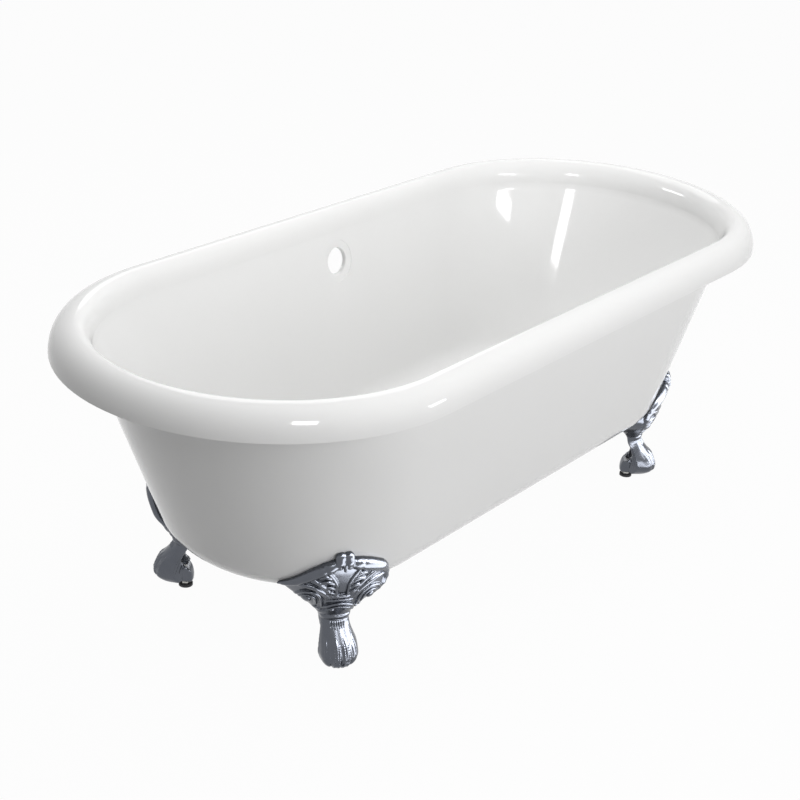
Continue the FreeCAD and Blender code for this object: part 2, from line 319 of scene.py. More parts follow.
def make_tub(material):
    """The enamelled casting, with its seats, holes and lugs."""
    lean = math.atan(SIDE_SLOPE)
    overflow_axis = Vector((0, math.cos(lean), -math.sin(lean)))
    overflow_z = RIM_TOP - OVERFLOW_DROP
    overflow_y = HALF_WIDTH - SIDE_INSET - SIDE_SLOPE * (LIP_Z - overflow_z)
    overflow = Vector((WASTE_OFFSET, overflow_y, overflow_z))
    drain = Vector((WASTE_OFFSET, 0, UNDERSIDE))
    down = Vector((0, 0, -1))
    added = [
        lathe([(OVERFLOW_SEAT, -IRON / 2), (OVERFLOW_SEAT, PAD_THICKNESS)],
              overflow, overflow_axis),
        lathe([(DRAIN_SEAT, -FLOOR_IRON / 2), (DRAIN_SEAT, PAD_THICKNESS)], drain, down),
    ]
    cut = []
    for place, axis, wall, seat, hole in (
        (overflow, overflow_axis, IRON, OVERFLOW_SEAT, OVERFLOW_RADIUS),
        (drain, down, FLOOR_IRON, DRAIN_SEAT, DRAIN_RADIUS),
    ):
        step = -wall + SEAT_DEPTH
        profile = [
            (seat, -wall - CUT_PAST), (seat, step), (hole + 2 * EDGE, step),
            (hole + 0.6 * EDGE, step + 0.6 * EDGE), (hole, step + 2 * EDGE), (hole, CUT_PAST),
        ]
        cut.append(lathe(profile, place, axis))
    for sx, sy in CORNERS.values():
        place = Vector((sx * FOOT_X, sy * FOOT_Y, SHELF_TOP))
        added.append(lug(place))
        bore = [(BOLT_BORE, -CUT_PAST), (BOLT_BORE, BOLT_BORE_DEPTH)]
        cut.append(lathe(bore, place, (0, 0, 1), BORE_STEPS))
    mesh = combine(tub_shell(), joined("added", added), "UNION")
    mesh = combine(mesh, joined("cut", cut), "DIFFERENCE")
    mesh.name = "tub"
    mesh.shade_smooth()
    mesh.set_sharp_from_angle(angle=math.radians(35))
    tub = add_object("tub", mesh, material)
    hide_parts("tub_body")


def lug(place):
    """Boss under the tub for a foot's bolt, with a top that ends in the iron all over."""
    rings = [(LUG_RADIUS, 0)]
    rings += [(LUG_RADIUS * share, LUG_REACH) for share in LUG_RINGS]
    points, faces = lathe(rings, place, (0, 0, 1), LUG_STEPS)
    points = [(x, y, z if z < SHELF_TOP + LUG_REACH / 2 else SHELF_TOP + lug_height(x, y))
              for x, y, z in points]
    return points, faces


def lug_height(x, y):
    """How far the lug's top reaches up at a place to end in the middle of the iron."""
    rise = 0.0
    while rise < LUG_HEIGHT_LIMIT:
        half_length, half_width = body_half_sizes(SHELF_TOP + rise, -IRON / 2)
        if SHELF_TOP + rise > UNDERSIDE and outline_distance(x, y, half_length, half_width) < 0:
            return rise
        rise += LUG_HEIGHT_STEP
    return rise


def outline_distance(x, y, half_length, half_width):
    """Distance from a level outline, negative inside it."""
    past = np.maximum(np.abs(x) - (half_length - half_width), 0.0)
    return np.hypot(past, y) - half_width


# ---- the foot casting ---------------------------------------------------------------------------
# It is shaped in millimetres in the foot's own frame: u outwards from the levelling screw's axis,
# v sideways to the tub's middle and z up from the floor.
GRID = 1.1
GRID_LOW = (-38.0, -118.0, 9.0)
GRID_HIGH = (86.0, 100.0, 266.0)
SOLE_Z = 13.0
SOLE_THICKNESS = 9.0
FOOT_WALL = 7.0
SHELF_TOP_MM = SHELF_TOP / MM
SHELF_LOW_MM = (SHELF_TOP - SHELF_THICKNESS) / MM
SEAT_GAP = 0.35
SHIELD_BORDER = 14.0
BORDER_NOTCH = 4.0
BOLT_HOLE = 5.5
SCREW_HOLE = 5.05
# height, and then the front, half width, middle, back and sideways shift of the foot's outline
FRONT, HALF, MIDDLE, BACK, SHIFT = 1, 2, 3, 4, 5
FOOT_STATIONS = [
    (8.0, 30.0, 17.0, 8.0, -14.0, 0.0),
    (13.0, 41.0, 22.0, 9.0, -15.0, 0.5),
    (24.0, 57.0, 31.0, 16.0, -17.0, 2.5),
    (37.0, 62.0, 36.5, 20.0, -12.0, 4.5),
    (56.0, 53.0, 34.5, 16.0, 7.0, 4.0),
    (76.0, 36.0, 29.0, 8.0, 1.0, 1.5),
    (92.0, 22.0, 27.0, 3.0, -8.0, 0.0),
    (104.0, 21.0, 28.5, 3.0, -10.0, 0.0),
    (118.0, 26.0, 40.0, 4.0, -18.0, -1.0),
    (134.0, 33.0, 57.0, 6.0, -28.0, 2.0),
    (148.0, 39.0, 71.0, 12.0, -34.0, 3.0),
    (166.0, 45.0, 86.0, 16.0, -34.0, -0.5),
    (191.0, 54.0, 98.0, 20.0, -34.0, -12.0),
    (215.0, 59.0, 95.0, 24.0, -34.0, -11.0),
    (265.0, 64.0, 95.0, 28.0, -34.0, -11.0),
]
# the shield's top edge: sideways place and height
SHIELD_EDGE = [(-114.0, 176.0), (-107.0, 183.0), (-82.0, 202.0), (-48.0, 227.0), (-20.0, 242.0),
               (0.0, 247.0), (18.0, 244.0), (48.0, 234.0), (70.0, 222.0), (84.0, 205.0),
               (92.0, 182.0)]
# the heel behind the levelling screw: height of its wall, its thickness, centre and radius in plan
HEEL_TOP = 42.0
HEEL_WALL = 5.0
HEEL_CENTRE = 4.0
HEEL_RADIUS = 20.5
# ridges down the paw's sides
TENDON_DEPTH = 1.5
TENDON_SPACING = 13.0
# how softly the faces of the casting meet
SKIN_BLEND = 7.0
EDGE_BLEND = 6.0
WALL_BLEND = 3.0
BACK_BLEND = 2.0
# the height above the shield's top edge times this is about the distance from it
TOP_SHARE = 0.75
# largest square of the front's slope that its distance is corrected for
STEEPEST = 9.0
# half width of the sunk field in the middle of the shield, by height
FIELD = [(160.0, 0.0), (166.0, 8.0), (190.0, 8.5), (203.0, 13.0), (212.0, 19.0), (222.0, 25.0),
         (229.0, 26.0), (232.0, 0.0)]
# the border's roll: sideways place, height below the shield's edge and radius
BORDER = [(-106.0, 1.5, 1.5), (-98.0, 4.5, 4.0), (-80.0, 8.0, 7.5), (-50.0, 10.0, 10.0),
          (-26.0, 11.0, 11.0), (-15.0, 11.0, 8.0), (15.0, 11.0, 8.0), (24.0, 11.0, 11.0),
          (50.0, 11.5, 11.5), (68.0, 11.0, 11.0), (77.0, 10.5, 9.0)]
# where the border turns down round the wing's end: sideways place, height and radius
BORDER_END = [(81.5, 192.0, 7.5), (83.5, 180.0, 6.0), (80.0, 167.0, 5.0), (73.0, 155.0, 4.0),
              (64.0, 144.0, 3.0)]
BORDER_STEPS = 90
BORDER_SINK = 2.0
# sideways place and width of the two dents beside the knuckle
NOTCH_PLACE = 31.0
NOTCH_WIDTH = 2.6
# strokes of the shield's carving, each on both sides: start, bend and end of the curve (sideways
# place and height), its half widths and its heights there, and its power
LOBES = [[(14, 166), (21, 177), (28, 170)], [(14, 178), (23, 190), (33, 183)],
         [(15, 190), (26, 203), (38, 196)], [(20, 202), (31, 214), (41, 207)]]
BEADS = [(40, 126), (33, 124), (12, 124)]
CARVING = [
    # leaf edge beside the sunk field
    ([(10, 164), (6, 197), (30, 218)], (4, 4, 3.5), (4.5, 5.5, 3.5), 0.7),
    ([(21, 209), (27, 219), (38, 223)], (2, 4, 2), (3, 5, 2), 0.8),
    # long blades that sweep out to the wing
    ([(16, 157), (34, 202), (71, 205)], (3.5, 8.5, 3), (4, 9, 3), 0.85),
    ([(21, 156), (44, 191), (79, 189)], (3.5, 9.5, 3.5), (4, 9.5, 3.5), 0.85),
    ([(25, 153), (38, 176), (56, 181)], (2.5, 4, 2.5), (3.5, 6, 3), 0.7),
    ([(44, 197), (56, 213), (71, 213)], (1.5, 4, 2), (2, 5.5, 2), 0.8),
    # scroll round the volute
    ([(31, 134), (34, 171), (56, 172)], (3, 3.5, 3.5), (4, 6, 6), 0.5),
    ([(56, 172), (77, 172), (77, 148)], (3.5, 3, 2), (6, 5, 3), 0.5),
    ([(41, 136), (41, 160), (57, 162)], (2.5, 3, 2.5), (3, 5, 5), 0.5),
    ([(57, 162), (69, 162), (69, 146)], (2.5, 2.5, 2), (5, 4, 3), 0.5),
]
CARVING += [(lobe, (3.5, 6.2, 4), (3.5, 8, 4.5), 0.85) for lobe in LOBES]
CARVING += [([bead] * 3, (3.5, 3.5, 3.5), (4, 4, 4), 0.5) for bead in BEADS]
STROKE_STEPS = 64
# button in the volute: sideways place, height, half width, half height and rise
BUTTON = (57.0, 147.0, 7.5, 10.5, 6.5)
FIELD_DEPTH = 3.0
# thin ribs in the sunk field: sideways place at the foot and at the top
RIBS = [(0, 0), (2.5, 5), (5, 9)]
# rings round the waist: height, half width, rise, droop to the sides and reach to the sides
WAIST_RINGS = [(161, 4.5, 6.0, 0.006, 22), (152, 3.5, 4.5, 0.008, 26), (142, 4.0, 6.0, 0.014, 34),
               (133, 3.0, 4.5, 0.020, 38), (105, 4.5, 3.5, 0.004, 60)]
CUFF_LOW = 84.5
CUFF_HIGH = 96.5
CUFF_HALF_WIDTH = 16.0
FLUTE_SPACING = 4.2
# toes and the clefts between them, as shares of the paw's half width
TOES = (-0.78, -0.26, 0.26, 0.78)
CLEFTS = (-0.52, 0.0, 0.52)
CLEFT_DEPTH = 2.8
CLEFT_WIDTH = 4.0
TOE_TENDON = 2.4
PLATE_RADIUS = 17.0
PLATE_RISE = 1.6
BEAD_ROW = 4.3
BEAD_SPACING = 3.9
CLAW_Z = 23.0
CLAW_RISE = 3.0
# one lobe of the knuckle, and the tongue at the foot of the cleft: points (outwards, sideways and
# up) and radii
KNUCKLE_SHIFT = -1.0
LOBE_POINTS = [(60.5, 8.4, 231.0), (61.0, 8.0, 239.0), (59.0, 6.8, 247.5)]
LOBE_RADII = [7.5, 9.2, 10.0]
TONGUE_POINTS = [(69.5, KNUCKLE_SHIFT, 227.0), (64.0, KNUCKLE_SHIFT, 238.0)]
TONGUE_RADII = [3.6, 2.0]
# pulls in and out that smooth the skin without shrinking it
RELAX_PULLS = (0.6, -0.62)
RELAX_ROUNDS = 3


def smoothed(values, step, spread):
    """Values along a line, blurred by a bell curve of the given spread."""
    reach = int(3 * spread / step) + 1
    offsets = np.arange(-reach, reach + 1) * step
    weights = np.exp(-0.5 * (offsets / spread) ** 2)
    weights /= weights.sum()
    padded = np.pad(values, reach, mode="edge")
    return np.convolve(padded, weights, mode="valid")


def station_curve(column, z):
    """One column of the stations as a smooth function of height."""
    heights = np.array([s[0] for s in FOOT_STATIONS])
    values = np.array([s[column] for s in FOOT_STATIONS])
    fine = np.arange(0.0, 280.0, 0.5)
    curve = smoothed(np.interp(fine, heights, values), 0.5, 3.5)
    return np.interp(z, fine, curve)


def edge_height(v):
    """Height of the shield's top edge over the sideways place v."""
    places = np.array([p[0] for p in SHIELD_EDGE])
    heights = np.array([p[1] for p in SHIELD_EDGE])
    fine = np.arange(-125.0, 110.0, 0.5)
    curve = smoothed(np.interp(fine, places, heights), 0.5, 3.0)
    return np.interp(v, fine, curve)


def front_face(v, z):
    """How far out the plain front of the foot lies."""
    front = station_curve(FRONT, z)
    half = station_curve(HALF, z)
    bow = front - station_curve(MIDDLE, z)
    radius = (half ** 2 + bow ** 2) / (2.0 * bow)
    side = np.clip(v - station_curve(SHIFT, z), -half, half)
    return front - radius + np.sqrt(np.maximum(radius ** 2 - side ** 2, 0.0))


def soft_max(a, b, blend):
    """The larger of two fields, rounded over where they meet."""
    near = np.maximum(blend - np.abs(a - b), 0.0) / blend
    return np.maximum(a, b) + near * near * blend * 0.25


def soft_min(a, b, blend):
    """The smaller of two fields, rounded over where they meet."""
    return -soft_max(-a, -b, blend)


def faded(distance, run):
    """0 at a distance of 0 and less, rising to 1 at run."""
    return np.clip(distance / run, 0.0, 1.0)


def bezier(points, t):
    """Place at t on the curve that starts and ends in points and bends to their middle one."""
    (ax, ay), (bx, by), (cx, cy) = points
    x = (1 - t) ** 2 * ax + 2 * t * (1 - t) * bx + t * t * cx
    y = (1 - t) ** 2 * ay + 2 * t * (1 - t) * by + t * t * cy
    return x, y


def stroke(relief, v, z, points, widths, heights, power=0.5):
    """Raise a bead along a curve through three points, and its mirror image.

    widths and heights are at the start, middle and end of the curve. A power of 0.5 gives a round
    bead and 1 a sharper ridge.
    """
    for side in (-1, 1):
        for i in range(STROKE_STEPS + 1):
            t = i / STROKE_STEPS
            x, y = bezier(points, t)
            width = bezier([(w, 0) for w in widths], t)[0]
            height = bezier([(h, 0) for h in heights], t)[0]
            x *= side
            near = (np.abs(v - x) < width) & (np.abs(z - y) < width)
            if not near.any():
                continue
            rows = np.where(near.any(axis=1))[0]
            columns = np.where(near.any(axis=0))[0]
            part = (slice(rows[0], rows[-1] + 1), slice(columns[0], columns[-1] + 1))
            distance = ((v[part] - x) ** 2 + (z[part] - y) ** 2) / width ** 2
            bead = height * np.maximum(1.0 - distance, 0.0) ** power
            relief[part] = np.maximum(relief[part], bead)


def shield_relief(v, z):
    """Carving on the shield: acanthus leaves, scrolls and the fan in the sunk middle field."""
    relief = np.zeros_like(v)
    for points, widths, heights, power in CARVING:
        stroke(relief, v, z, points, widths, heights, power)
    place, height, half_width, half_height, rise = BUTTON
    button = 1.0 - ((np.abs(v) - place) / half_width) ** 2 - ((z - height) / half_height) ** 2
    relief = np.maximum(relief, rise * np.sqrt(np.maximum(button, 0.0)))
    heights = np.array([place[0] for place in FIELD])
    halves = np.array([place[1] for place in FIELD])
    relief -= FIELD_DEPTH * faded(np.interp(z, heights, halves) - np.abs(v), 2.0)
    for foot_v, top_v in RIBS:
        rib = np.zeros_like(v)
        stroke(rib, v, z, [(foot_v, 165), (foot_v, 186), (top_v, 207)], (1.6, 1.6, 1.2),
               (1.8, 1.8, 0.6))
        relief += rib
    return relief


def waist_relief(v, z):
    """Rings round the waist, and the fluted cuff above the paw."""
    relief = np.zeros_like(v)
    for height, half, rise, droop, reach in WAIST_RINGS:
        ring = 1.0 - ((z + droop * v * v - height) / half) ** 2
        fade = faded(reach - np.abs(v), 12.0)
        relief = np.maximum(relief, rise * np.sqrt(np.maximum(ring, 0.0)) * fade)
    band = faded(CUFF_HIGH - z, 1.5) * faded(z - CUFF_LOW, 1.5)
    sides = faded(CUFF_HALF_WIDTH - np.abs(v), 2.0)
    flutes = 1.0 + sides * (1.0 + 1.3 * np.cos(v * 2.0 * math.pi / FLUTE_SPACING))
    return np.maximum(relief, band * flutes)


def paw_relief(v, z):
    """Back of the paw, its four toes and the beaded tendons on them."""
    side = v - station_curve(SHIFT, z)
    half = station_curve(HALF, z)
    # smooth plate below the cuff, rounded at its foot
    plate_edge = np.hypot(np.maximum(np.abs(side) - 5.0, 0.0), np.maximum(74.0 - z, 0.0))
    relief = PLATE_RISE * faded(PLATE_RADIUS - plate_edge, 2.0) * faded(86.0 - z, 2.0)
    fade = faded(66.0 - z, 24.0)
    for share in CLEFTS:
        off = np.abs(side - share * half)
        relief -= CLEFT_DEPTH * fade * np.maximum(1.0 - off / CLEFT_WIDTH, 0.0) ** 1.2
    # a slender tendon down each toe, with a row of beads on both sides of the inner ones
    for share in TOES:
        off = np.abs(side - share * half)
        tendon = np.maximum(1.0 - (off / 2.0) ** 2, 0.0) ** 0.5
        relief += TOE_TENDON * tendon * faded(74.0 - z, 8.0) * faded(z - 34.0, 14.0)
        if abs(share) < 0.5:
            row = np.maximum(1.0 - ((off - BEAD_ROW) / 1.7) ** 2, 0.0) ** 0.5
            beads = 1.2 + 0.8 * np.cos(z * 2.0 * math.pi / BEAD_SPACING)
            relief += beads * row * faded(66.0 - z, 6.0)
    # claws: the tips of the toes stand out near the sole
    for share in TOES:
        off = ((side - share * half) / 7.5) ** 2 + ((z - CLAW_Z) / 11.0) ** 2
        relief += CLAW_RISE * np.maximum(1.0 - off, 0.0) ** 0.5
    return relief


def tub_distance(u, v, z):
    """About how far a point of the foot's grid lies outside the tub."""
    cosine = math.cos(FOOT_ANGLE)
    sine = math.sin(FOOT_ANGLE)
    x = FOOT_X / MM + u * cosine - v * sine
    y = FOOT_Y / MM + u * sine + v * cosine
    half_length, half_width = body_half_sizes(z * MM)
    level = outline_distance(x, y, half_length / MM, half_width / MM)
    slope = np.gradient(half_width / MM, z.ravel(), axis=2)
    level = level / np.sqrt(1.0 + np.minimum(slope, 8.0) ** 2)
    return np.where(z < UNDERSIDE / MM, np.maximum(level, UNDERSIDE / MM - z), level)


def add_rod(field, axes, points, radii, blend):
    """Blend a round bar through the points into the field."""
    u, v, z = axes
    for (a, b), (ra, rb) in zip(zip(points, points[1:]), zip(radii, radii[1:])):
        reach = max(ra, rb) + 3.0 * blend + 2.0
        window = []
        for axis, low, high in zip(axes, np.minimum(a, b), np.maximum(a, b)):
            flat = axis.ravel()
            start, stop = np.searchsorted(flat, [low - reach, high + reach])
            window.append(slice(max(start, 0), min(stop, len(flat))))
        wu = u[window[0]]
        wv = v[:, window[1]]
        wz = z[:, :, window[2]]
        run = np.subtract(b, a)
        length = max(float(run @ run), 1e-9)
        t = ((wu - a[0]) * run[0] + (wv - a[1]) * run[1] + (wz - a[2]) * run[2]) / length
        t = np.clip(t, 0.0, 1.0)
        distance = np.sqrt((wu - a[0] - t * run[0]) ** 2 + (wv - a[1] - t * run[1]) ** 2
                           + (wz - a[2] - t * run[2]) ** 2) - (ra + (rb - ra) * t)
        part = tuple(window)
        field[part] = soft_min(field[part], distance, blend)


def foot_field():
    """Signed fields on a grid: the foot, negative inside the casting, and the space inside it."""
    axes = [np.arange(a, b, GRID) for a, b in zip(GRID_LOW, GRID_HIGH)]
    u = axes[0][:, None, None]
    v = axes[1][None, :, None]
    z = axes[2][None, None, :]
    flat_v, flat_z = np.meshgrid(axes[1], axes[2], indexing="ij")
    plain = front_face(flat_v, flat_z)
    relief = shield_relief(flat_v, flat_z)
    relief = np.maximum(relief, waist_relief(flat_v, flat_z)) + paw_relief(flat_v, flat_z)
    dv, dz = np.gradient(plain, GRID)
    steep = np.sqrt(1.0 + np.minimum(dv ** 2 + dz ** 2, STEEPEST))
    half = station_curve(HALF, flat_z)
    taper = np.sqrt(1.0 + np.gradient(half, GRID, axis=1) ** 2)
    sides = (np.abs(flat_v - station_curve(SHIFT, flat_z)) - half) / taper
    behind = np.maximum(station_curve(MIDDLE, z) - np.maximum(u, HEEL_CENTRE), 0.0)
    heel = behind * faded(100.0 - z, 20.0)
    top = flat_z - edge_height(flat_v)
    from_front = plain - u
    tendon = np.clip(np.cos(2 * math.pi * from_front / TENDON_SPACING), -0.4, 1.0)
    tendon = tendon * TENDON_DEPTH * faded(z - 30.0, 12.0) * faded(92.0 - z, 14.0)
    tendon = tendon * faded(from_front - 5.0, 6.0)
    outline = soft_max(sides[None] + heel - tendon, (top * TOP_SHARE)[None], EDGE_BLEND)
    sole = SOLE_Z - z
    back = station_curve(BACK, z) - u
    skin = (u - plain - relief) / steep
    heel_end = np.sqrt((u - HEEL_CENTRE) ** 2 + v ** 2) - HEEL_RADIUS
    heel_end = np.where(u < HEEL_CENTRE, np.minimum(heel_end, (z - HEEL_TOP) * -4.0), -9.0)
    body = soft_max(skin, outline, SKIN_BLEND)
    body = soft_max(body, soft_max(back, sole, BACK_BLEND), WALL_BLEND)
    body = np.where(z < HEEL_TOP, soft_max(body, heel_end, WALL_BLEND), body)
    inner = soft_max((u - plain + FOOT_WALL) / steep, outline + FOOT_WALL, EDGE_BLEND)
    leg = np.maximum(SOLE_Z + SOLE_THICKNESS - z, z - SHELF_LOW_MM)
    leg = soft_max(inner, leg, WALL_BLEND)
    heel_wall = np.minimum(np.maximum(back, heel_end) + HEEL_WALL, HEEL_TOP - z)
    leg = soft_max(leg, heel_wall, BACK_BLEND)
    wing = np.maximum(SHELF_TOP_MM - z, (top + SHIELD_BORDER)[None])
    wing = soft_max(inner, wing, WALL_BLEND)
    body = np.maximum(body, -leg)
    body = np.maximum(body, -wing)
    grid = (u, v, z)
    add_border(body, grid)
    add_knuckle(body, grid)
    for radius, low, high in ((BOLT_HOLE, SHELF_LOW_MM - 3.0, SHELF_TOP_MM + 3.0),
                              (SCREW_HOLE, SOLE_Z - 3.0, SOLE_Z + SOLE_THICKNESS + 3.0)):
        bore = np.maximum(np.sqrt(u ** 2 + v ** 2) - radius, np.maximum(low - z, z - high))
        body = np.maximum(body, -bore)
    body = np.maximum(body, SEAT_GAP - tub_distance(u, v, z))
    body[[0, -1]] = 1.0
    body[:, [0, -1]] = 1.0
    body[:, :, [0, -1]] = 1.0
    return body, np.minimum(leg, wing)


def add_border(body, grid):
    """The thick roll along the shield's top edge, which turns down round the wing's end."""
    places = np.array([place[0] for place in BORDER])
    drops = np.array([place[1] for place in BORDER])
    radii = np.array([place[2] for place in BORDER])
    fine = np.linspace(places[0], places[-1], BORDER_STEPS)
    path = [(place, float(edge_height(place) - np.interp(place, places, drops)),
             float(np.interp(place, places, radii))) for place in fine]
    path += BORDER_END
    points = []
    for place, height, radius in path:
        out = float(front_face(np.array(place), np.array(height))) - BORDER_SINK
        notch = BORDER_NOTCH * math.exp(-((abs(place) - NOTCH_PLACE) / NOTCH_WIDTH) ** 2)
        points.append((out - notch, place, height))
    add_rod(body, grid, points, [radius for _, _, radius in path], 1.6)


def add_knuckle(body, grid):
    """Two tall lobes at the middle of the border, with a small tongue at the foot of the cleft."""
    for side in (-1, 1):
        lobe = [(out, side * place + KNUCKLE_SHIFT, height) for out, place, height in LOBE_POINTS]
        add_rod(body, grid, lobe, LOBE_RADII, 1.0)
    add_rod(body, grid, TONGUE_POINTS, TONGUE_RADII, 0.8)


def surface_net(field, origin, step):
    """Closed mesh of quads where the field changes sign, with its points in the field's units."""
    inside = field < 0
    counts = np.zeros(tuple(n - 1 for n in field.shape), dtype=np.int8)
    corners = [(i, j, k) for i in (0, 1) for j in (0, 1) for k in (0, 1)]
    nx, ny, nz = counts.shape
    for i, j, k in corners:
        counts += inside[i:nx + i, j:ny + j, k:nz + k]
    active = (counts > 0) & (counts < 8)
    index = np.full(counts.shape, -1, dtype=np.int64)
    cells = np.argwhere(active)
    index[active] = np.arange(len(cells))
    total = np.zeros((len(cells), 3))
    crossings = np.zeros(len(cells))
    for start in corners:
        for axis in range(3):
            if start[axis]:
                continue
            end = list(start)
            end[axis] = 1
            first = field[tuple((cells + start).T)]
            second = field[tuple((cells + end).T)]
            cross = (first < 0) != (second < 0)
            share = np.where(cross, first / np.where(cross, first - second, 1.0), 0.0)
            run = np.subtract(end, start)
            place = np.array(start, dtype=float)[None] + share[:, None] * run[None]
            total += place * cross[:, None]
            crossings += cross
    points = (cells + total / crossings[:, None]) * step + np.array(origin)
    faces = []
    for axis in range(3):
        b, c = [(1, 2), (2, 0), (0, 1)][axis]
        near = [slice(None)] * 3
        far = [slice(None)] * 3
        near[axis] = slice(0, -1)
        far[axis] = slice(1, None)
        change = inside[tuple(near)] != inside[tuple(far)]
        edges = np.argwhere(change)
        keep = (edges[:, b] > 0) & (edges[:, c] > 0)
        edges = edges[keep]
        leaving = inside[tuple(edges.T)]
        shift_b = np.zeros(3, dtype=int)
        shift_c = np.zeros(3, dtype=int)
        shift_b[b] = 1
        shift_c[c] = 1
        around = (edges - shift_b - shift_c, edges - shift_c, edges, edges - shift_b)
        quad = np.stack([index[tuple(cell.T)] for cell in around], axis=1)
        quad[~leaving] = quad[~leaving][:, ::-1]
        faces.append(quad)
    return points, np.concatenate(faces)


def box_blur(values, reach):
    """Mean of the values within reach cells, along each axis in turn."""
    for axis in range(3):
        moved = np.moveaxis(values, axis, 0)
        before = np.repeat(moved[:1], reach + 1, 0)
        after = np.repeat(moved[-1:], reach, 0)
        padded = np.concatenate([before, moved, after])
        sums = np.cumsum(padded, axis=0, dtype=np.float64)
        width = 2 * reach + 1
        values = np.moveaxis((sums[width:] - sums[:-width]) / width, 0, axis)
    return values


def at_points(values, points):
    """Values of a grid at the points, blended from the eight cells round each."""
    places = (points - np.array(GRID_LOW)) / GRID
    cells = np.clip(np.floor(places).astype(int), 0, np.array(values.shape) - 2)
    shares = places - cells
    total = np.zeros(len(points))
    for corner in ((i, j, k) for i in (0, 1) for j in (0, 1) for k in (0, 1)):
        weight = np.prod(np.where(corner, shares, 1.0 - shares), axis=1)
        total += weight * values[tuple((cells + corner).T)]
    return total


def relaxed(points, faces):
    """Points of a closed mesh of quads with the grid's stair steps smoothed away."""
    starts = faces.ravel()
    ends = np.roll(faces, -1, axis=1).ravel()
    counts = np.bincount(starts, minlength=len(points))[:, None]
    for pull in RELAX_PULLS * RELAX_ROUNDS:
        total = np.stack([np.bincount(starts, points[ends, axis], len(points))
                          for axis in range(3)], axis=1)
        points = points + pull * (total / counts - points)
    return points


def make_feet(material):
    """The four castings, mirrored to their corners.

    Each carries a value for its material: 0 on the inside of the casting, 0.5 on its plain outside,
    and more where the carving is sunk, where the chrome paints shade.
    """
    field, cavity = foot_field()
    points, faces = surface_net(field, GRID_LOW, GRID)
    points = relaxed(points, faces)
    solid = np.clip(0.5 - field / GRID, 0.0, 1.0)
    outside = at_points(cavity, points) > FOOT_WALL / 5
    # how sunk each point lies, which the chrome turns into painted shade
    hollow_shade = (at_points(box_blur(solid, 2), points) + at_points(box_blur(solid, 4), points)) / 2
    hollow_shade = np.where(outside, np.maximum(hollow_shade, 0.5), 0.0)
    cosine = math.cos(FOOT_ANGLE)
    sine = math.sin(FOOT_ANGLE)
    x = FOOT_X + (points[:, 0] * cosine - points[:, 1] * sine) * MM
    y = FOOT_Y + (points[:, 0] * sine + points[:, 1] * cosine) * MM
    z = points[:, 2] * MM
    feet = []
    for corner, (sx, sy) in CORNERS.items():
        placed = np.stack([x * sx, y * sy, z], axis=1)
        turned = faces if sx * sy > 0 else faces[:, ::-1]
        mesh = mesh_from("foot", placed.tolist(), turned.tolist())
        mesh.shade_smooth()
        recess = mesh.attributes.new("recess", "FLOAT", "POINT")
        recess.data.foreach_set("value", hollow_shade.astype(np.float32))
        foot = add_object("foot_casting_" + corner, mesh, material)
        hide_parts("foot_" + corner)
        feet.append(foot)
    return feet


# ---- materials ----------------------------------------------------------------------------------
# shares of metal round a point of the foot's skin at which it counts as sunk and the chrome is
# darkened with painted shade: 0.5 is flat
HOLLOW_START = 0.56
HOLLOW_END = 0.76
# the two tones that each material varies between, and its least and most roughness
ENAMEL_TONES = ((0.865, 0.865, 0.86), (0.885, 0.885, 0.88))
ENAMEL_ROUGHNESS = (0.05, 0.08)
# the chrome's tones are darker than real chrome: painted shade that stands in for the dark
# surroundings chrome reflects
CHROME_TONES_WITH_PAINTED_SHADE = ((0.088, 0.095, 0.111), (0.115, 0.122, 0.140))
CHROME_ROUGHNESS = (0.24, 0.42)
# painted shade, nearly black, for the sunk carving
PAINTED_SHADE_TONE = (0.036, 0.040, 0.050)
UNPOLISHED_TONE = (0.50, 0.52, 0.56)
UNPOLISHED_METAL = 0.3
STEEL_TONES = ((0.46, 0.46, 0.44), (0.60, 0.60, 0.58))
STEEL_ROUGHNESS = (0.28, 0.45)
NYLON_TONES = ((0.02, 0.02, 0.023), (0.045, 0.045, 0.05))
NYLON_ROUGHNESS = (0.5, 0.7)


def new_material(name):
    """A material, its node tree and its shader."""
    material = bpy.data.materials.new(name)
    material.use_nodes = True
    shader = material.node_tree.nodes["Principled BSDF"]
    return material, material.node_tree, shader


def add_node(tree, kind, **values):
    """A node with its inputs or settings given by name."""
    node = tree.nodes.new(kind)
    for key, value in values.items():
        if key in node.inputs:
            node.inputs[key].default_value = value
        else:
            setattr(node, key, value)
    return node


def object_noise(tree, scale, detail=2.0):
    """Noise that is fixed to the object."""
    place = add_node(tree, "ShaderNodeTexCoord")
    noise = add_node(tree, "ShaderNodeTexNoise", Scale=scale, Detail=detail, Roughness=0.5)
    tree.links.new(place.outputs["Object"], noise.inputs["Vector"])
    return noise.outputs["Fac"]


def ramp(tree, source, low_value, high_value, start=0.0, end=1.0):
    """Map the source's range from start to end onto low_value to high_value."""
    node = add_node(tree, "ShaderNodeMapRange")
    node.inputs["From Min"].default_value = start
    node.inputs["From Max"].default_value = end
    node.inputs["To Min"].default_value = low_value
    node.inputs["To Max"].default_value = high_value
    tree.links.new(source, node.inputs["Value"])
    return node.outputs["Result"]


def mix_colour(tree, source, first, second):
    """Blend two colours, given as triples or as sockets, by the source."""
    node = add_node(tree, "ShaderNodeMix", data_type="RGBA")
    sockets = {socket.name: socket for socket in node.inputs if socket.type == "RGBA"}
    for name, colour in (("A", first), ("B", second)):
        if isinstance(colour, tuple):
            sockets[name].default_value = (*colour, 1)
        else:
            tree.links.new(colour, sockets[name])
    tree.links.new(source, node.inputs["Factor"])
    return [socket for socket in node.outputs if socket.type == "RGBA"][0]


def bump(tree, shader, source, strength, distance):
    """Fine relief on the shader's surface."""
    node = add_node(tree, "ShaderNodeBump", Strength=strength, Distance=distance)
    tree.links.new(source, node.inputs["Height"])
    tree.links.new(node.outputs["Normal"], shader.inputs["Normal"])


